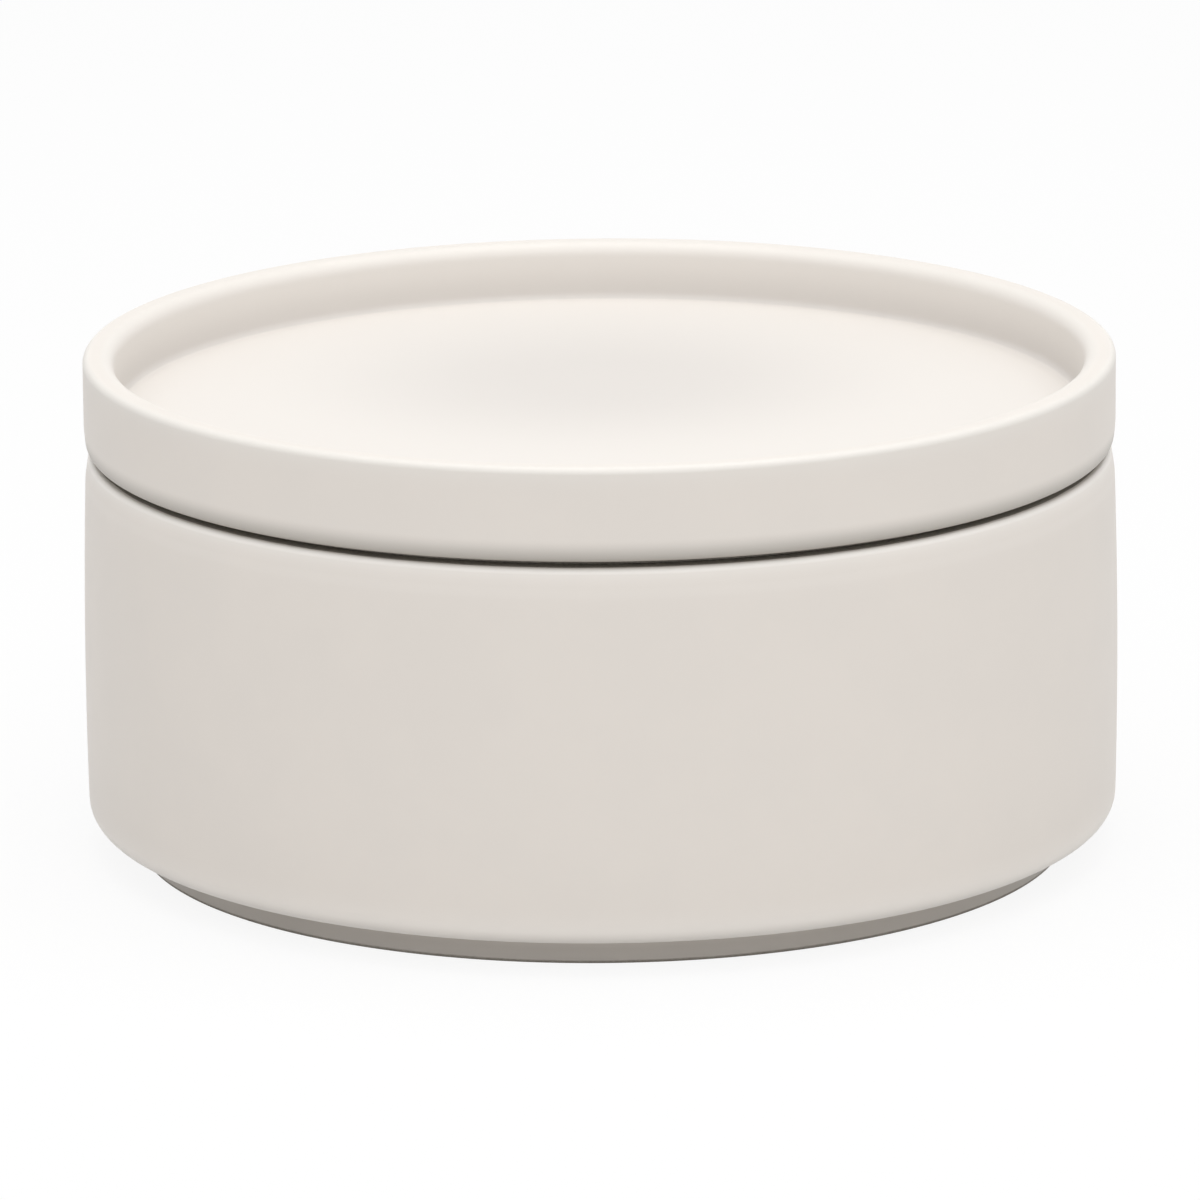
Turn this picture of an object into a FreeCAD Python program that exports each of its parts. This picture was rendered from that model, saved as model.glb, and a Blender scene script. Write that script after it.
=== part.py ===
import FreeCAD, Part
import math
import os
import Sketcher

# Round lidded box of fired clay: a nearly straight-sided bowl on a low foot ring, and a cap-like lid of the
# same width. Millimetres, +Z up. The origin is the centre of the foot ring, on the surface the box stands on.

# Driving sizes, one cell each
SIZES = {
    # width of the lid, and nearly that of the bowl
    "box_diameter": 140.0,
    # bowl, outside: its wall bows out a little between its base and its rim
    "bowl_height": 54.9,
    "rim_setback": 0.15,
    "base_spread": 0.2,
    "wall_bow_radius": 800.0,
    "bowl_rim_rounding": 1.4,
    "bowl_base_rounding": 3.1,
    # bowl, inside; the wall is this thick at its rim
    "wall_thickness": 4.85,
    "mouth_rounding": 0.6,
    "floor_thickness": 5.5,
    "floor_corner_radius": 8.0,
    # foot ring
    "foot_setback": 6.5,
    "foot_height": 4.0,
    "foot_width": 4.6,
    "foot_recess_depth": 3.0,
    "foot_rounding": 0.5,
    "foot_root_radius": 0.5,
    "foot_recess_radius": 1.2,
    # lid, outside
    "lid_height": 13.6,
    "lid_top_rounding": 1.3,
    "lid_bottom_rounding": 1.4,
    # tray in the top of the lid
    "tray_rim_width": 4.35,
    "tray_depth": 8.0,
    "tray_rim_rounding": 2.0,
    "tray_corner_radius": 1.0,
    "panel_thickness": 4.6,
    # underside of the lid
    "seat_width": 1.6,
    "seam_gap": 0.7,
    "collar_clearance": 0.6,
    "collar_width": 4.2,
    "collar_depth": 6.0,
    "collar_rounding": 1.4,
    "collar_root_radius": 2.0,
    # how far a cut runs past the face it leaves
    "cut_overrun": 2.0,
}

# Sizes that several outlines share, each worked out from the driving sizes
BOX_RADIUS = "dims.box_diameter / 2"
MOUTH_RADIUS = f"{BOX_RADIUS} - dims.rim_setback - dims.wall_thickness"
FOOT_RADIUS = f"{BOX_RADIUS} - dims.foot_setback"

# How near an edge's circle must lie to the corner it was drawn from
MATCH_TOLERANCE = 1e-4


def make_sheet(doc):
    sheet = doc.addObject("Spreadsheet::Sheet", "dims")
    for row, (alias, value) in enumerate(SIZES.items(), start=1):
        sheet.set(f"A{row}", alias)
        sheet.set(f"B{row}", str(value))
        sheet.setAlias(f"B{row}", alias)
    doc.recompute()
    return sheet


def origin_plane(body, role):
    return next(f for f in body.Origin.OriginFeatures if f.Role == role)


def draw_outline(body, name, corners, bows=None):
    """A closed outline in the XZ plane. Each corner's radius and height is a sheet expression.

    The run that leaves a corner is straight, or bows out where bows gives an expression for its radius.
    """
    bows = bows or {}
    sketch = body.newObject("Sketcher::SketchObject", name)
    sketch.AttachmentSupport = [(origin_plane(body, "XZ_Plane"), "")]
    sketch.MapMode = "FlatFace"
    points = [corner_point(sketch, corner) for corner in corners.values()]
    for corner, start, end in zip(corners, points, points[1:] + points[:1]):
        if corner in bows:
            sketch.addGeometry(bowed_run(start, end, float(sketch.evalExpression(bows[corner]))))
        else:
            sketch.addGeometry(Part.LineSegment(start, end))
    for line, (corner, (radius, height)) in enumerate(corners.items()):
        following = (line + 1) % len(corners)
        sketch.addConstraint(Sketcher.Constraint("Coincident", line, 2, following, 1))
        bind_coordinate(sketch, line, "DistanceX", f"{corner}_radius", radius)
        bind_coordinate(sketch, line, "DistanceY", f"{corner}_height", height)
        if corner in bows:
            bow = float(sketch.evalExpression(bows[corner]))
            bind_value(sketch, Sketcher.Constraint("Radius", line, bow), f"{corner}_bow", bows[corner])
    return sketch


def bowed_run(start, end, radius):
    """An arc that turns anticlockwise from start to end."""
    half_chord = (end - start) / 2
    outward = FreeCAD.Vector(half_chord.y, -half_chord.x, 0).normalize()
    rise = radius - math.sqrt(radius ** 2 - half_chord.Length ** 2)
    return Part.Arc(start, start + half_chord + outward * rise, end)


def corner_point(sketch, corner):
    radius, height = (float(sketch.evalExpression(text)) for text in corner)
    return FreeCAD.Vector(radius, height, 0)


def bind_coordinate(sketch, line, direction, name, expression):
    """Holds a line's first point at a distance from the origin, or on the axis where that is zero."""
    if expression == "0":
        axis = -2 if direction == "DistanceX" else -1
        sketch.addConstraint(Sketcher.Constraint("PointOnObject", line, 1, axis))
        return
    value = float(sketch.evalExpression(expression))
    bind_value(sketch, Sketcher.Constraint(direction, -1, 1, line, 1, value), name, expression)


def bind_value(sketch, constraint, name, expression):
    index = sketch.addConstraint(constraint)
    sketch.renameConstraint(index, name)
    sketch.setExpression(f"Constraints.{name}", expression)


def turn(body, kind, name, sketch):
    """A Revolution adds the outline turned about Z, and a Groove cuts it away."""
    feature = body.newObject(f"PartDesign::{kind}", name)
    feature.Profile = sketch
    feature.ReferenceAxis = (sketch, ["V_Axis"])
    feature.Angle = 360
    body.Document.recompute()
    return feature


def round_corners(body, name, radius, corners):
    """Rounds the circular edges that the named corners sweep."""
    base = body.Tip
    fillet = body.newObject("PartDesign::Fillet", name)
    wanted = [corner_point(base, corner) for corner in corners]
    edges = [
        f"Edge{number}"
        for number, edge in enumerate(base.Shape.Edges, start=1)
        if any(is_swept_from(edge, point) for point in wanted)
    ]
    if len(edges) != len(corners):
        raise ValueError(f"{name}: found {len(edges)} edges for {len(corners)} corners")
    fillet.Base = (base, edges)
    fillet.setExpression("Radius", radius)
    body.Document.recompute()


def is_swept_from(edge, point):
    if not isinstance(edge.Curve, Part.Circle):
        return False
    circle = edge.Curve
    off_radius = abs(circle.Radius - point.x)
    off_height = abs(circle.Center.z - point.y)
    return off_radius < MATCH_TOLERANCE and off_height < MATCH_TOLERANCE


def make_bowl(doc):
    """Bowl whose wall bows out slightly, on a foot ring round a recessed base."""
    body = doc.addObject("PartDesign::Body", "bowl")
    outside = {
        "axis_bottom": ("0", "0"),
        "foot_edge": (FOOT_RADIUS, "0"),
        "foot_root": (FOOT_RADIUS, "dims.foot_height"),
        "base_edge": (f"{BOX_RADIUS} + dims.base_spread", "dims.foot_height"),
        "rim_edge": (f"{BOX_RADIUS} - dims.rim_setback", "dims.bowl_height"),
        "axis_top": ("0", "dims.bowl_height"),
    }
    floor_height = "dims.foot_recess_depth + dims.floor_thickness"
    hollow = {
        "axis_floor": ("0", floor_height),
        "floor_corner": (MOUTH_RADIUS, floor_height),
        "above_mouth": (MOUTH_RADIUS, "dims.bowl_height + dims.cut_overrun"),
        "axis_above": ("0", "dims.bowl_height + dims.cut_overrun"),
    }
    foot_inside = f"{FOOT_RADIUS} - dims.foot_width"
    recess = {
        "axis_below": ("0", "-dims.cut_overrun"),
        "below_foot": (foot_inside, "-dims.cut_overrun"),
        "recess_corner": (foot_inside, "dims.foot_recess_depth"),
        "axis_base": ("0", "dims.foot_recess_depth"),
    }
    outline = draw_outline(body, "bowl_outside", outside, {"base_edge": "dims.wall_bow_radius"})
    turn(body, "Revolution", "bowl_blank", outline)
    cut(body, "bowl_hollow", draw_outline(body, "hollow_outline", hollow))
    cut(body, "foot_recess", draw_outline(body, "recess_outline", recess))
    mouth = (MOUTH_RADIUS, "dims.bowl_height")
    foot_inner_edge = (foot_inside, "0")
    round_corners(body, "floor_corner", "dims.floor_corner_radius", [hollow["floor_corner"]])
    round_corners(body, "base_rounding", "dims.bowl_base_rounding", [outside["base_edge"]])
    round_corners(body, "rim_rounding", "dims.bowl_rim_rounding", [outside["rim_edge"]])
    round_corners(body, "mouth_rounding", "dims.mouth_rounding", [mouth])
    round_corners(body, "foot_root", "dims.foot_root_radius", [outside["foot_root"]])
    round_corners(body, "recess_corner", "dims.foot_recess_radius", [recess["recess_corner"]])
    round_corners(body, "foot_rounding", "dims.foot_rounding", [outside["foot_edge"], foot_inner_edge])
    return body


def cut(body, name, sketch):
    """A Groove that must take clay away."""
    before = body.Tip.Shape.Volume
    turn(body, "Groove", name, sketch)
    if body.Tip.Shape.Volume >= before:
        raise ValueError(f"{name} cuts nothing")


def make_lid(doc):
    """Cap whose flat seat rests on the bowl's rim, with a collar that drops inside the mouth.

    Its own zero height is the lower end of the collar.
    """
    body = doc.addObject("PartDesign::Body", "lid")
    collar_outside = f"{MOUTH_RADIUS} - dims.collar_clearance"
    collar_inside = f"{collar_outside} - dims.collar_width"
    seat_outside = f"{MOUTH_RADIUS} + dims.seat_width"
    skirt_height = "dims.collar_depth + dims.seam_gap"
    top_height = "dims.collar_depth + dims.lid_height"
    tray_height = f"{top_height} - dims.tray_depth"
    panel_height = f"{tray_height} - dims.panel_thickness"
    outside = {
        "axis_panel": ("0", panel_height),
        "collar_root": (collar_inside, panel_height),
        "collar_inner_end": (collar_inside, "0"),
        "collar_outer_end": (collar_outside, "0"),
        "seat_inner": (collar_outside, "dims.collar_depth"),
        "seat_outer": (seat_outside, "dims.collar_depth"),
        "seat_step": (seat_outside, skirt_height),
        "skirt_edge": (BOX_RADIUS, skirt_height),
        "top_edge": (BOX_RADIUS, top_height),
        "axis_top": ("0", top_height),
    }
    tray_radius = f"{BOX_RADIUS} - dims.tray_rim_width"
    tray = {
        "axis_tray": ("0", tray_height),
        "tray_corner": (tray_radius, tray_height),
        "above_tray": (tray_radius, f"{top_height} + dims.cut_overrun"),
        "axis_above": ("0", f"{top_height} + dims.cut_overrun"),
    }
    turn(body, "Revolution", "lid_blank", draw_outline(body, "lid_outside", outside))
    cut(body, "tray_hollow", draw_outline(body, "tray_outline", tray))
    collar_ends = [outside["collar_inner_end"], outside["collar_outer_end"]]
    round_corners(body, "skirt_rounding", "dims.lid_bottom_rounding", [outside["skirt_edge"]])
    round_corners(body, "top_rounding", "dims.lid_top_rounding", [outside["top_edge"]])
    round_corners(body, "tray_rim_rounding", "dims.tray_rim_rounding", [(tray_radius, top_height)])
    round_corners(body, "tray_corner", "dims.tray_corner_radius", [tray["tray_corner"]])
    round_corners(body, "collar_rounding", "dims.collar_rounding", collar_ends)
    round_corners(body, "collar_root", "dims.collar_root_radius", [outside["collar_root"]])
    body.setExpression(".Placement.Base.z", "dims.bowl_height - dims.collar_depth")
    doc.recompute()
    return body


def check_document(doc, bodies):
    for item in doc.Objects:
        if "Invalid" in item.State or "Error" in item.State:
            raise ValueError(f"{item.Label} failed: {item.State}")
    for body in bodies:
        if body.Shape.isNull() or not body.Shape.isValid():
            raise ValueError(f"{body.Label} has no valid shape")
        if len(body.Shape.Solids) != 1:
            raise ValueError(f"{body.Label} is not one solid")


def write_parts(bodies):
    os.makedirs("parts", exist_ok=True)
    for body in bodies:
        body.Shape.exportStep(f"parts/{body.Label}.step")
        box = body.Shape.optimalBoundingBox(False)
        print(f"{body.Label}: {body.Shape.Volume / 1000:.1f} cm3, "
              f"{box.XLength:.2f} x {box.YLength:.2f} mm, z {box.ZMin:.2f} to {box.ZMax:.2f}")


document = FreeCAD.newDocument("lidded_box")
make_sheet(document)
parts = [make_bowl(document), make_lid(document)]
check_document(document, parts)
write_parts(parts)
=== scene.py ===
import math

import bpy
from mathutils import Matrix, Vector


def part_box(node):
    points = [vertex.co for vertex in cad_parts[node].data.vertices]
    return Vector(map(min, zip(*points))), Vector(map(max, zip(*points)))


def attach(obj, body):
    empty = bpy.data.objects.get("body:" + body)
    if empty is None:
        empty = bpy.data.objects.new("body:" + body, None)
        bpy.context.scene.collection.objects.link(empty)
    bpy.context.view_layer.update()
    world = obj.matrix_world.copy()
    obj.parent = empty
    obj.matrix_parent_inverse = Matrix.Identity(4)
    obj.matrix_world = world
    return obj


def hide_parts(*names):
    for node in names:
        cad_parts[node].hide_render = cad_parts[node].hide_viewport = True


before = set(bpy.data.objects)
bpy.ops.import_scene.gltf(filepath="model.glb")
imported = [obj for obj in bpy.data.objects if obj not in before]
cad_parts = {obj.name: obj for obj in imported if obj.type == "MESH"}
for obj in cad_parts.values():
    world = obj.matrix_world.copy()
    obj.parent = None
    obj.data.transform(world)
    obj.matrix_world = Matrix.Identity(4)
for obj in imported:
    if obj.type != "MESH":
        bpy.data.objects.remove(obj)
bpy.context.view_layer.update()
print("frame loaded:", ", ".join(sorted(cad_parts)))

mm = 0.001


# Node graphs

class Wire:  # a node's output, which can stand in a sum
    def __init__(self, graph, socket):
        self.graph = graph
        self.socket = socket

    def join(self, operation, first, second):
        return self.graph.node("ShaderNodeMath", {"operation": operation}, {0: first, 1: second})

    def __add__(self, other):
        return self.join("ADD", self, other)

    def __radd__(self, other):
        return self.join("ADD", other, self)

    def __sub__(self, other):
        return self.join("SUBTRACT", self, other)

    def __rsub__(self, other):
        return self.join("SUBTRACT", other, self)

    def __mul__(self, other):
        return self.join("MULTIPLY", self, other)

    def __rmul__(self, other):
        return self.join("MULTIPLY", other, self)

    def __truediv__(self, other):
        return self.join("DIVIDE", self, other)

    def __rtruediv__(self, other):
        return self.join("DIVIDE", other, self)

    def __mod__(self, other):
        return self.join("MODULO", self, other)


class Graph:
    def __init__(self, tree):
        self.tree = tree
        tree.nodes.clear()

    def node(self, kind, settings=None, inputs=None, output=0):
        made = self.tree.nodes.new(kind)
        for name, value in (settings or {}).items():
            setattr(made, name, value)
        for name, value in (inputs or {}).items():
            if isinstance(value, Wire):
                self.tree.links.new(value.socket, made.inputs[name])
            else:
                made.inputs[name].default_value = value
        return Wire(self, made.outputs[output]) if made.outputs else made

    def blend(self, factor, first, second):  # two colours
        settings = {"data_type": "RGBA", "clamp_factor": True}
        return self.node("ShaderNodeMix", settings, {0: factor, 6: first, 7: second}, 2)

    def ease(self, value, low, high):  # 0 below low, 1 above high, smooth between
        settings = {"interpolation_type": "SMOOTHSTEP"}
        return self.node("ShaderNodeMapRange", settings, {0: value, 1: low, 2: high, 3: 0.0, 4: 1.0})

    def sums(self, operation, value):  # a Math node with one value
        return self.node("ShaderNodeMath", {"operation": operation}, {0: value})

    def vector(self, operation, first, second=None, output=0):
        inputs = {0: first} if second is None else {0: first, 1: second}
        return self.node("ShaderNodeVectorMath", {"operation": operation}, inputs, output)

    def split(self, vector):  # its X, Y and Z
        made = self.node("ShaderNodeSeparateXYZ", {}, {0: vector}).socket.node
        return [Wire(self, made.outputs[axis]) for axis in "XYZ"]

    def clamp(self, value):
        return self.node("ShaderNodeClamp", {}, {0: value})

    def directlySeen(self):  # 1 for what the camera sees, also in a reflection
        rays = self.node("ShaderNodeLightPath").socket.node
        seen = Wire(self, rays.outputs["Is Camera Ray"]) + Wire(self, rays.outputs["Is Glossy Ray"])
        return self.clamp(seen)

    def noise(self, place, size, detail, roughness=0.5):  # about 0.5, from 0 to 1
        inputs = {"Vector": place, "Scale": 1 / size, "Detail": detail, "Roughness": roughness}
        return self.node("ShaderNodeTexNoise", {"noise_dimensions": "3D"}, inputs)


# Glazes

glazeLook = {
    "colour": (0.780, 0.728, 0.674, 1),
    "cloudColour": (0.770, 0.720, 0.668, 1),  # faint clouding in the fired glaze
    # painted light: the tray, which faces the top light, drawn in a lighter and whiter copy of the glaze
    "trayLitColour": (0.782, 0.744, 0.702, 1),
    "trayShadeColour": (0.685, 0.650, 0.615, 1),  # painted shade in the middle of the tray and at the foot of its wall
    "cloudSize": 14 * mm,
    "cloudStops": (0.35, 0.65),  # the noise values where the clouding starts and is full
    "roughness": 0.45,
    "roughnessSpread": 0.06,
    "specular": 0.3,
    "ior": 1.5,
    "rippleSize": 5 * mm,
    "rippleHeight": 0.008 * mm,
    "peelSize": 0.7 * mm,
    "peelHeight": 0.0016 * mm,
}

clayLook = {
    # the bare clay; also the colour of the painted shade at the foot, on the lid's lower edge and in the
    # seam
    "colour": (0.380, 0.350, 0.310, 1),
    "grainColour": (0.320, 0.292, 0.255, 1),
    "grainSize": 0.5 * mm,
    "grainStops": (0.4, 0.62),
    "grainHeight": 0.03 * mm,
    "roughness": 0.85,
    "edgeRagged": 0.25 * mm,  # how far the glaze line wanders
    "edgeRaggedSize": 6 * mm,
    "edgeRaggedUpright": 0.3,  # the share of that by which it wanders up and down
    "edgeSoft": 0.12 * mm,
    "shadeSoft": 0.3 * mm,
}


def ringPlace(graph, place):  # the distance from the pot's axis, and the height
    x, y, height = graph.split(place)
    return graph.sums("SQRT", x * x + y * y), height


def between(graph, value, low, high, soft):  # 1 from low to high, with soft ends
    return graph.ease(value, low - soft, low + soft) * (1 - graph.ease(value, high - soft, high + soft))


def bareAndSeamShadeMask(graph, place, band):  # 1 on the unglazed ring inside these radii and heights; on the rim and the lid's seat it reaches out into the seam as painted shade
    radius, height = ringPlace(graph, place)
    wander = graph.noise(place, clayLook["edgeRaggedSize"], detail=3) * 2 - 1
    wander = wander * clayLook["edgeRagged"]
    upright = wander * clayLook["edgeRaggedUpright"]
    soft = clayLook["edgeSoft"]
    mask = between(graph, radius + wander, band["inner"], band["outer"], soft)
    return mask * between(graph, height + upright, band["low"], band["high"], soft)


def paintedShadeMask(graph, place, band):  # painted shade: how far the glaze is darkened towards the clay colour below these heights
    radius, height = ringPlace(graph, place)
    mask = graph.ease(radius, band["inner"] - clayLook["shadeSoft"], band["inner"]) * band["share"]
    return mask * (1 - graph.ease(height, band["full"], band["end"]))


def trayMasks(graph, place, tray):  # 1 inside the tray, and 1 where shade is painted: in the middle of the tray and at the foot of its wall
    radius, height = ringPlace(graph, place)
    floor, wall = tray["floor"], tray["radius"]
    inside = graph.ease(height, floor - tray["underFloor"], floor - tray["underFloorFull"])
    inside = inside * (1 - graph.ease(radius, wall, wall + tray["rimFade"]))
    # painted shade, darkest a little behind the middle of the tray
    apart = graph.vector("DISTANCE", place, Vector((0, tray["shadeBack"], floor)), "Value")
    trayShade = inside * (1 - graph.ease(apart, tray["shadeInner"], tray["shadeOuter"]))
    # painted shade on the lowest part of the tray's wall, next to the floor
    run = graph.ease(radius, wall - tray["wallShadeInner"], wall - tray["wallShadeOuter"])
    run = run * (1 - graph.ease(height, floor + tray["wallShadeFull"], floor + tray["wallShadeEnd"]))
    return inside, trayShade + inside * run


def makeGlaze(name, edgeHighlightColour, bareAndSeamShadeBands, shadeBands, tray=None):
    material = bpy.data.materials.new(name)
    material.use_nodes = True
    graph = Graph(material.node_tree)
    place = graph.node("ShaderNodeTexCoord", {}, {}, "Object")
    # painted highlight: the tighter an edge is rounded, the more it takes the lighter edge colour
    edgeHighlight = graph.node("ShaderNodeAttribute", {"attribute_name": "edge"}, {}, "Fac")
    cloud = graph.noise(place, glazeLook["cloudSize"], detail=4, roughness=0.55)
    clouded = graph.ease(cloud, *glazeLook["cloudStops"])
    colour = graph.blend(clouded, glazeLook["colour"], glazeLook["cloudColour"])
    colour = graph.blend(edgeHighlight, colour, edgeHighlightColour)
    if tray:
        # painted light on the tray, then painted shade in its middle and at the foot of its wall
        inside, trayShade = trayMasks(graph, place, tray)
        colour = graph.blend(inside, colour, glazeLook["trayLitColour"])
        colour = graph.blend(trayShade, colour, glazeLook["trayShadeColour"])
    # painted shade near the foot and on the lid's lower edge
    for band in shadeBands:
        colour = graph.blend(paintedShadeMask(graph, place, band), colour, clayLook["colour"])
    # bare clay, and in the seam painted shade
    bareAndSeamShade = sum(bareAndSeamShadeMask(graph, place, band) for band in bareAndSeamShadeBands)
    grain = graph.noise(place, clayLook["grainSize"], detail=4, roughness=0.65)
    grainy = graph.ease(grain, *clayLook["grainStops"])
    clay = graph.blend(grainy, clayLook["colour"], clayLook["grainColour"])
    colour = graph.blend(bareAndSeamShade, colour, clay)
    gloss = glazeLook["roughness"] + (cloud - 0.5) * glazeLook["roughnessSpread"]
    gloss = gloss + bareAndSeamShade * (clayLook["roughness"] - glazeLook["roughness"])
    ripple = graph.noise(place, glazeLook["rippleSize"], detail=1) * glazeLook["rippleHeight"]
    peel = graph.noise(place, glazeLook["peelSize"], detail=1) * glazeLook["peelHeight"]
    relief = ripple + peel + grain * bareAndSeamShade * clayLook["grainHeight"]
    bump = graph.node("ShaderNodeBump", {}, {"Strength": 1.0, "Distance": 1.0, "Height": relief})
    shaderInputs = {
        "Base Color": colour,
        "Roughness": gloss,
        "Normal": bump,
        "IOR": glazeLook["ior"],
        "Specular IOR Level": glazeLook["specular"],
    }
    shader = graph.node("ShaderNodeBsdfPrincipled", {}, shaderInputs)
    graph.node("ShaderNodeOutputMaterial", {}, {"Surface": shader})
    return material


# The potter's wheel: turns an outline about the axis

wheel = {
    "Turns": 224,
    "Ring Spacing": 1.2 * mm,
    "Rounding Steps": 9,
    "Waver": 0.05 * mm,  # how far the fired wall strays inwards
    "Waver Size": 45 * mm,
    "Edge Radius": 1.6 * mm,  # a rounding this tight counts as a full edge
}

edgeBlur = 2  # rounds of smoothing
mergeDistance = 0.001 * mm


def wheelInputs(tree):
    tree.interface.new_socket("Outline", in_out="INPUT", socket_type="NodeSocketGeometry")
    for name, value in wheel.items():
        kind = "NodeSocketInt" if isinstance(value, int) else "NodeSocketFloat"
        tree.interface.new_socket(name, in_out="INPUT", socket_type=kind)
    tree.interface.new_socket("Glaze", in_out="INPUT", socket_type="NodeSocketMaterial")
    tree.interface.new_socket("Pot", in_out="OUTPUT", socket_type="NodeSocketGeometry")


def neighbour(graph, step):  # the place of the outline's point this many steps on
    position = graph.node("GeometryNodeInputPosition")
    index = graph.node("GeometryNodeInputIndex")
    settings = {"data_type": "FLOAT_VECTOR", "domain": "POINT"}
    return graph.node("GeometryNodeFieldAtIndex", settings, {"Value": position, "Index": index + step})


def roundOutline(graph, entry):  # rounds its corners, and cuts its straight runs into rings
    rounding = graph.node("GeometryNodeInputNamedAttribute", {"data_type": "FLOAT"}, {"Name": "rounding"})
    inputs = {
        "Curve": graph.node("GeometryNodeMeshToCurve", {}, {0: entry["Outline"]}),
        "Radius": rounding,
        "Count": entry["Rounding Steps"],
        "Limit Radius": True,
    }
    curve = graph.node("GeometryNodeFilletCurve", {"mode": "POLY"}, inputs)
    position = graph.node("GeometryNodeInputPosition")
    ahead = graph.vector("DISTANCE", neighbour(graph, 1), position, "Value")
    cuts = graph.sums("FLOOR", ahead / entry["Ring Spacing"])
    return graph.node("GeometryNodeSubdivideCurve", {}, {"Curve": curve, "Cuts": cuts})


def findEdges(graph, entry):  # from 0 to 1, how sharply the outline turns outwards at each ring
    position = graph.node("GeometryNodeInputPosition")
    before = graph.vector("NORMALIZE", graph.vector("SUBTRACT", position, neighbour(graph, -1)))
    after = graph.vector("NORMALIZE", graph.vector("SUBTRACT", neighbour(graph, 1), position))
    runLength = graph.vector("DISTANCE", neighbour(graph, 1), neighbour(graph, -1), "Value")
    bend = graph.split(graph.vector("CROSS_PRODUCT", after, before))[1]
    curvature = bend * 2 / runLength
    edge = graph.clamp(curvature * entry["Edge Radius"])
    settings = {"data_type": "FLOAT"}
    return graph.node("GeometryNodeBlurAttribute", settings, {"Value": edge, "Iterations": edgeBlur})


def rollUp(graph, entry, curve, edge):  # a grid, one column of rings for each step of the wheel
    sizes = graph.node("GeometryNodeAttributeDomainSize", {"component": "CURVE"}, {0: curve}).socket.node
    rings = Wire(graph, sizes.outputs["Point Count"])
    pot = graph.node("GeometryNodeMeshGrid", {}, {"Vertices X": entry["Turns"] + 1, "Vertices Y": rings})
    position = graph.node("GeometryNodeInputPosition")
    index = graph.node("GeometryNodeInputIndex")
    ring = index % rings
    column = graph.sums("FLOOR", index / rings)

    def sampled(value, dataType):
        settings = {"data_type": dataType, "domain": "POINT"}
        inputs = {"Geometry": curve, "Value": value, "Index": ring}
        return graph.node("GeometryNodeSampleIndex", settings, inputs)

    settings = {"data_type": "FLOAT", "domain": "POINT"}
    inputs = {"Geometry": pot, "Name": "edge", "Value": sampled(edge, "FLOAT")}
    pot = graph.node("GeometryNodeStoreNamedAttribute", settings, inputs)
    angle = column / entry["Turns"] * math.tau
    inputs = {"Vector": sampled(position, "FLOAT_VECTOR"), "Axis": (0, 0, 1), "Angle": angle}
    rolled = graph.node("ShaderNodeVectorRotate", {"rotation_type": "AXIS_ANGLE"}, inputs)
    pot = graph.node("GeometryNodeSetPosition", {}, {"Geometry": pot, "Position": rolled})
    return graph.node("GeometryNodeMergeByDistance", {}, {"Geometry": pot, "Distance": mergeDistance})


def strayInwards(graph, entry, pot):  # by a little, as a fired wall does
    waver = graph.node("ShaderNodeTexNoise", {}, {"Scale": 1 / entry["Waver Size"], "Detail": 1.0})
    inputs = {0: graph.node("GeometryNodeInputNormal"), "Scale": waver * entry["Waver"] * -1}
    inward = graph.node("ShaderNodeVectorMath", {"operation": "SCALE"}, inputs)
    return graph.node("GeometryNodeSetPosition", {}, {"Geometry": pot, "Offset": inward})


def makeWheel():
    tree = bpy.data.node_groups.new("pottersWheel", "GeometryNodeTree")
    wheelInputs(tree)
    graph = Graph(tree)
    given = graph.node("NodeGroupInput").socket.node
    entry = {socket.name: Wire(graph, socket) for socket in given.outputs if socket.name}
    curve = roundOutline(graph, entry)
    pot = rollUp(graph, entry, curve, findEdges(graph, entry))
    pot = strayInwards(graph, entry, pot)
    pot = graph.node("GeometryNodeSetShadeSmooth", {}, {"Geometry": pot, "Shade Smooth": True})
    pot = graph.node("GeometryNodeRealizeInstances", {}, {0: pot})
    pot = graph.node("GeometryNodeSetMaterial", {}, {"Geometry": pot, "Material": entry["Glaze"]})
    graph.node("NodeGroupOutput", {}, {0: pot})
    return tree


def outlineObject(name, corners):  # corners are (radius, height, rounding)
    mesh = bpy.data.meshes.new(name)
    points = [(radius, 0, height) for radius, height, rounding in corners]
    mesh.from_pydata(points, [(i, i + 1) for i in range(len(points) - 1)], [])
    attribute = mesh.attributes.new("rounding", "FLOAT", "POINT")
    attribute.data.foreach_set("value", [rounding for radius, height, rounding in corners])
    piece = bpy.data.objects.new(name, mesh)
    bpy.context.scene.collection.objects.link(piece)
    return piece


def turnPot(name, corners, glaze):
    piece = outlineObject(name, corners)
    modifier = piece.modifiers.new("wheel", "NODES")
    modifier.node_group = pottersWheel
    settings = dict(wheel, Glaze=glaze)
    for item in pottersWheel.interface.items_tree:
        if item.in_out == "INPUT" and item.name in settings:
            modifier[item.identifier] = settings[item.name]
    evaluated = piece.evaluated_get(bpy.context.evaluated_depsgraph_get())
    turned = bpy.data.meshes.new_from_object(evaluated)
    piece.modifiers.clear()
    piece.data = turned
    turned.name = name
    print(f"{name}: {len(turned.polygons)} faces")
    return piece


pottersWheel = makeWheel()


# Bowl

bowlLow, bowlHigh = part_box("bowl")
lidLow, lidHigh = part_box("lid")

overrun = 1 * mm  # a bare band that ends at an edge reaches this far past it

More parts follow.
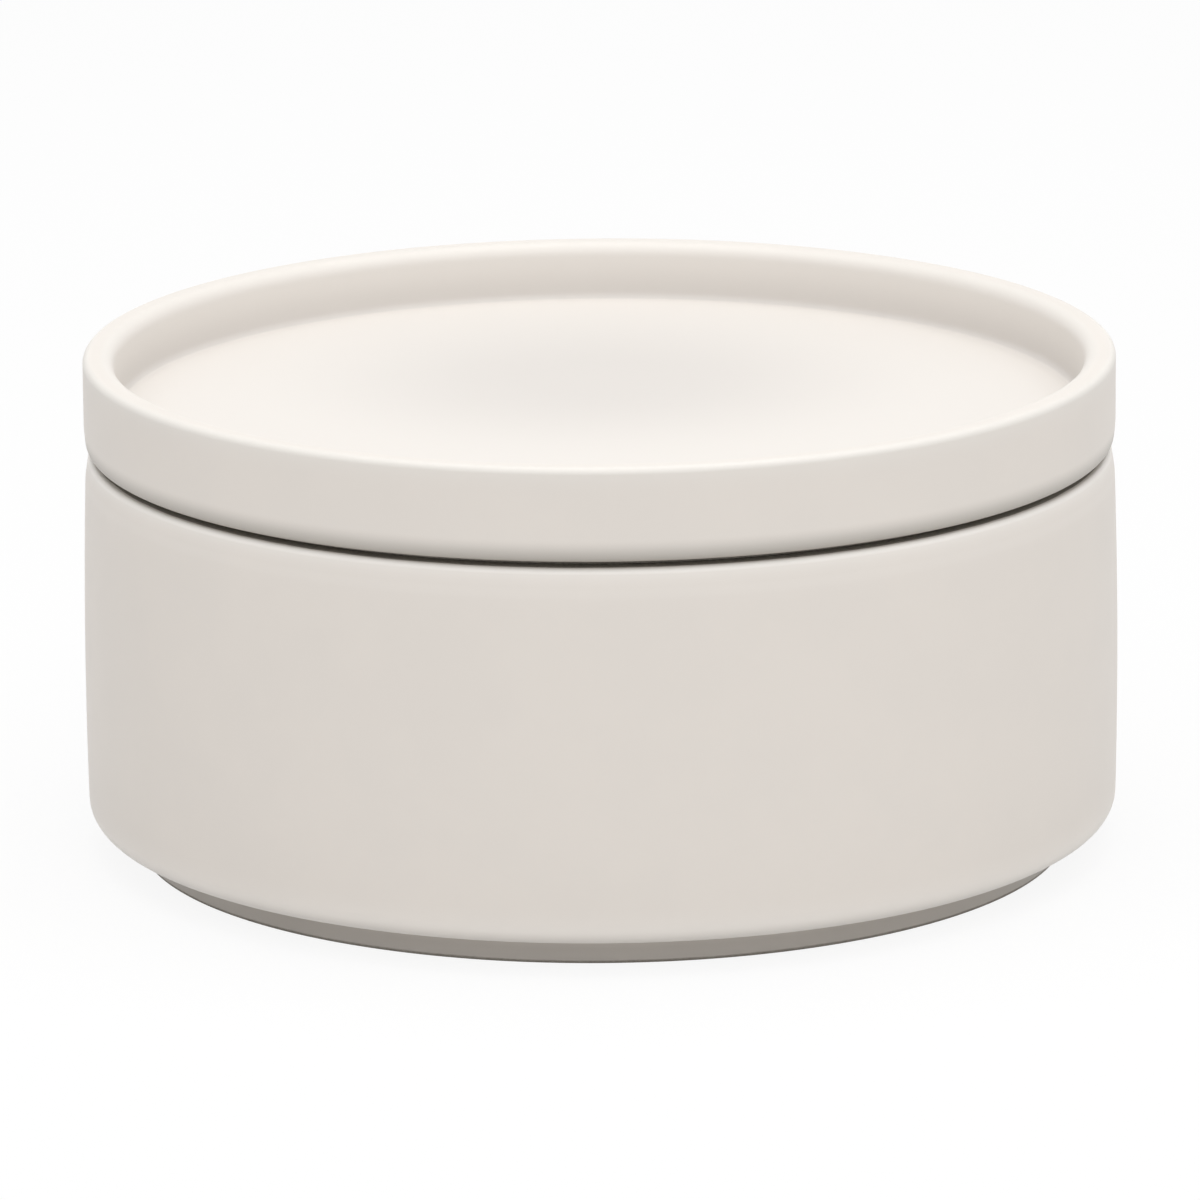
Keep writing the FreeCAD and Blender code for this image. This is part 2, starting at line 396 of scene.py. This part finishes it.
bowlShape = {
    "wallRadius": bowlHigh.x,  # where the wall is widest
    "baseInset": 0.27 * mm,
    "rimInset": 0.62 * mm,
    "wallBow": 800 * mm,  # radius of the wall's slight outward bow
    "wallSteps": 9,
    "top": bowlHigh.z,
    "baseRounding": 3.1 * mm,
    "lipHeight": 3.2 * mm,  # the last of the wall leans in a little
    "lipStart": 0.1 * mm,  # how far out of the rim's line the lean starts
    "lipLean": 0.4 * mm,
    "lipBend": 14 * mm,
    "rimRounding": 0.9 * mm,
    "edgeHighlightColour": (0.900, 0.865, 0.820, 1),  # painted highlight along the rounded edges
    "mouthRadius": 65.0 * mm,
    "mouthRounding": 0.6 * mm,
    "floorHeight": 8.5 * mm,
    "floorRounding": 8.0 * mm,
    "footRadius": 63.5 * mm,
    "footHeight": 4.0 * mm,
    "footWidth": 4.6 * mm,
    "footRounding": 0.5 * mm,
    "footRootRounding": 0.5 * mm,
    "recessHeight": 3.0 * mm,
    "recessRounding": 1.2 * mm,
    "bareFootHeight": 0.5 * mm,
}


def bowedRun(start, end, radius, steps):  # the corners between two, on an arc that bows outwards
    start, end = Vector(start), Vector(end)
    run = end - start
    outward = Vector((run.y, -run.x)).normalized()
    centreDepth = math.sqrt(radius ** 2 - (run.length / 2) ** 2)
    corners = []
    for step in range(1, steps):
        share = step / steps
        bow = math.sqrt(radius ** 2 - ((share - 0.5) * run.length) ** 2) - centreDepth
        corner = start + run * share + outward * bow
        corners.append((corner.x, corner.y, 0))
    return corners


def bowlOutline(shape):
    footInside = shape["footRadius"] - shape["footWidth"]
    rimRadius = shape["wallRadius"] - shape["rimInset"]
    wallFoot = (shape["wallRadius"] - shape["baseInset"], shape["footHeight"])
    wallTop = (rimRadius + shape["lipStart"], shape["top"] - shape["lipHeight"])
    return [
        (0, shape["recessHeight"], 0),
        (footInside, shape["recessHeight"], shape["recessRounding"]),
        (footInside, bowlLow.z, shape["footRounding"]),
        (shape["footRadius"], bowlLow.z, shape["footRounding"]),
        (shape["footRadius"], shape["footHeight"], shape["footRootRounding"]),
        (*wallFoot, shape["baseRounding"]),
        *bowedRun(wallFoot, wallTop, shape["wallBow"], shape["wallSteps"]),
        (*wallTop, shape["lipBend"]),
        (rimRadius - shape["lipLean"], shape["top"], shape["rimRounding"]),
        (shape["mouthRadius"], shape["top"], shape["mouthRounding"]),
        (shape["mouthRadius"], shape["floorHeight"], shape["floorRounding"]),
        (0, shape["floorHeight"], 0),
    ]


bareFoot = {
    "inner": bowlShape["footRadius"] - bowlShape["footWidth"] - overrun,
    "outer": bowlShape["footRadius"] + overrun,
    "low": bowlLow.z - overrun,
    "high": bowlShape["bareFootHeight"],
}
# unglazed rim, stretched out towards the lip as painted shade that darkens the seam
bareRimAndSeamShade = {
    "inner": bowlShape["mouthRadius"] + 0.7 * mm,
    "outer": 68.4 * mm,
    "low": bowlShape["top"] - 0.5 * mm,
    "high": bowlShape["top"] + overrun,
}

# painted shade on the foot, under the bowl's overhang
footShade = {
    "inner": bareFoot["inner"],
    "full": bowlShape["footHeight"] - 2.0 * mm,
    "end": bowlShape["footHeight"] - 0.9 * mm,
    "share": 0.29,
}
# painted shade on the bottom of the wall, just above the foot
baseShade = {
    "inner": bareFoot["inner"],
    "full": bowlShape["footHeight"] + 0.3 * mm,
    "end": bowlShape["footHeight"] + 2.2 * mm,
    "share": 0.27,
}

bowlGlaze = makeGlaze("bowlGlaze", bowlShape["edgeHighlightColour"], [bareFoot, bareRimAndSeamShade], [footShade, baseShade])
bowlShell = turnPot("bowl_body", bowlOutline(bowlShape), bowlGlaze)
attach(bowlShell, "bowl")
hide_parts("bowl")


# Lid

seamGap = 0.78 * mm  # the dark line between the lid and the bowl

lidShape = {
    "radius": lidHigh.x,
    "top": lidHigh.z,
    "topRounding": 1.0 * mm,
    # painted highlight along the lid's rounded edges
    "edgeHighlightColour": (0.800, 0.768, 0.722, 1),
    "skirtHeight": bowlHigh.z + seamGap,
    "skirtRounding": 1.4 * mm,
    "skirtLean": 0.3 * mm,
    "skirtLeanHeight": 3.0 * mm,
    "skirtBend": 14 * mm,
    "seatHeight": bowlHigh.z,
    "seatOuter": 66.6 * mm,
    "seatRounding": 0.12 * mm,
    "collarLow": lidLow.z,
    "collarOuter": 64.4 * mm,
    "collarInner": 60.2 * mm,
    "collarRounding": 1.4 * mm,
    "collarRootRounding": 2.0 * mm,
    "panelHeight": 55.9 * mm,
    "rimWidth": 4.35 * mm,
    "trayDepth": 8.0 * mm,
    "trayRimRounding": 2.0 * mm,
    "trayRounding": 1.0 * mm,
}


def lidOutline(shape):
    trayRadius = shape["radius"] - shape["rimWidth"]
    trayHeight = shape["top"] - shape["trayDepth"]
    return [
        (0, shape["panelHeight"], 0),
        (shape["collarInner"], shape["panelHeight"], shape["collarRootRounding"]),
        (shape["collarInner"], shape["collarLow"], shape["collarRounding"]),
        (shape["collarOuter"], shape["collarLow"], shape["collarRounding"]),
        (shape["collarOuter"], shape["seatHeight"], shape["seatRounding"]),
        (shape["seatOuter"], shape["seatHeight"], shape["seatRounding"]),
        (shape["seatOuter"], shape["skirtHeight"], shape["seatRounding"]),
        (shape["radius"] - shape["skirtLean"], shape["skirtHeight"], shape["skirtRounding"]),
        (shape["radius"], shape["skirtHeight"] + shape["skirtLeanHeight"], shape["skirtBend"]),
        (shape["radius"], shape["top"], shape["topRounding"]),
        (trayRadius, shape["top"], shape["trayRimRounding"]),
        (trayRadius, trayHeight, shape["trayRounding"]),
        (0, trayHeight, 0),
    ]


# unglazed seat, stretched out over the lid's lower edge as painted shade that darkens the seam
bareSeatAndSeamShade = {
    "inner": lidShape["collarOuter"] + 0.5 * mm,
    "outer": 69.2 * mm,
    "low": lidShape["seatHeight"] - overrun,
    "high": lidShape["skirtHeight"] + 0.2 * mm,
}

trayLightAndShade = {
    "floor": lidShape["top"] - lidShape["trayDepth"],
    "radius": lidShape["radius"] - lidShape["rimWidth"],
    "underFloor": 0.5 * mm,  # its colour starts this far under the floor
    "underFloorFull": 0.3 * mm,
    "rimFade": 1 * mm,
    "shadeBack": 15 * mm,  # how far back the middle of the painted shade sits
    "shadeInner": 8 * mm,
    "shadeOuter": 50 * mm,
    "wallShadeInner": 0.7 * mm,  # in from the wall, where the painted shade on the lowest part of the wall starts
    "wallShadeOuter": 0.3 * mm,
    "wallShadeFull": 1 * mm,
    "wallShadeEnd": 6 * mm,
}

# painted shade on the lid's lower edge, above the seam
skirtShade = {
    "inner": lidShape["seatOuter"],
    "full": lidShape["skirtHeight"] + 0.2 * mm,
    "end": lidShape["skirtHeight"] + 3.2 * mm,
    "share": 0.83,
}

lidGlaze = makeGlaze("lidGlaze", lidShape["edgeHighlightColour"], [bareSeatAndSeamShade], [skirtShade], trayLightAndShade)
lidShell = turnPot("lid_body", lidOutline(lidShape), lidGlaze)
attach(lidShell, "lid")
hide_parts("lid")


# Floor

floorLook = {
    "size": 3.0,
    "colour": (0.86, 0.86, 0.86, 1),
    "bounceColour": (0.765, 0.765, 0.765, 1),  # what the object is lit by from below
    "shadowShare": 0.11,  # how much of the real floor, with its shadow, the camera sees
}


def makeFloor():
    half = floorLook["size"] / 2
    mesh = bpy.data.meshes.new("floor")
    corners = [(-half, -half, 0), (half, -half, 0), (half, half, 0), (-half, half, 0)]
    mesh.from_pydata(corners, [], [(0, 1, 2, 3)])
    floor = bpy.data.objects.new("floor", mesh)
    bpy.context.scene.collection.objects.link(floor)
    material = bpy.data.materials.new("floorPaper")
    material.use_nodes = True
    graph = Graph(material.node_tree)
    bounce = graph.node("ShaderNodeBsdfDiffuse", {}, {"Color": floorLook["bounceColour"]})
    paper = graph.node("ShaderNodeBsdfDiffuse", {}, {"Color": floorLook["colour"]})
    white = graph.node("ShaderNodeEmission", {}, {"Color": (1, 1, 1, 1), "Strength": 1.0})
    shown = graph.node("ShaderNodeMixShader", {}, {0: floorLook["shadowShare"], 1: white, 2: paper})
    mixed = graph.node("ShaderNodeMixShader", {}, {0: graph.directlySeen(), 1: bounce, 2: shown})
    graph.node("ShaderNodeOutputMaterial", {}, {"Surface": mixed})
    mesh.materials.append(material)
    return floor


makeFloor()
print("floor made")


# Light

lamps = {
    "frontLow": {"place": (0, -1.256, 0.376), "size": (1.2, 0.6), "power": 1.42},
    "frontHigh": {"place": (0, -0.919, 0.959), "size": (1.0, 0.7), "power": 3.0},
    "leftLow": {"place": (-1.203, -0.212, 0.485), "size": (0.8, 0.7), "power": 0.4},
    "rightLow": {"place": (1.203, -0.212, 0.485), "size": (0.8, 0.7), "power": 0.85},
    "leftHigh": {"place": (-0.734, -0.129, 1.105), "size": (0.8, 0.6), "power": 1.5},
    "rightHigh": {"place": (0.734, -0.129, 1.105), "size": (0.8, 0.6), "power": 2.3},
    "overhead": {"place": (0, 0.1, 1.24), "size": (0.9, 0.9), "power": 6.4},
}
lampAim = (0, 0, 0.04)
worldStrength = 0.48  # for what it lights, while the camera sees it white


def aimAt(thing, target):
    away = thing.location - Vector(target)
    thing.rotation_euler = away.to_track_quat("Z", "Y").to_euler()


for name, lamp in lamps.items():
    light = bpy.data.lights.new(name, "AREA")
    light.shape = "RECTANGLE"
    light.size, light.size_y = lamp["size"]
    light.energy = lamp["power"]
    lightObject = bpy.data.objects.new(name, light)
    lightObject.location = lamp["place"]
    lightObject.visible_camera = False
    aimAt(lightObject, lampAim)
    bpy.context.scene.collection.objects.link(lightObject)

world = bpy.data.worlds.new("studio")
bpy.context.scene.world = world
world.use_nodes = True
worldGraph = Graph(world.node_tree)
strength = worldStrength + worldGraph.directlySeen() * (1 - worldStrength)
white = worldGraph.node("ShaderNodeBackground", {}, {"Color": (1, 1, 1, 1), "Strength": strength})
worldGraph.node("ShaderNodeOutputWorld", {}, {"Surface": white})
print("lamps made")


# Camera

photoCamera = {
    "target": (-0.00014, 0, 0.0331),
    "distance": 1.4,
    "elevation": math.radians(14.33),
    "roll": -0.008,
    "lens": 307.9,
    "sensor": 36.0,
    "nearest": 0.05,
    "farthest": 20,
}

cameraData = bpy.data.cameras.new("photoCamera")
cameraData.sensor_width = photoCamera["sensor"]
cameraData.lens = photoCamera["lens"]
cameraData.clip_start = photoCamera["nearest"]
cameraData.clip_end = photoCamera["farthest"]
camera = bpy.data.objects.new("photoCamera", cameraData)
target = Vector(photoCamera["target"])
back = Vector((0, -math.cos(photoCamera["elevation"]), math.sin(photoCamera["elevation"])))
camera.location = target + back * photoCamera["distance"]
aimAt(camera, target)
camera.rotation_euler.rotate_axis("Z", photoCamera["roll"])
bpy.context.scene.collection.objects.link(camera)
bpy.context.scene.camera = camera
bpy.context.scene.view_settings.view_transform = "Standard"
print("camera made")
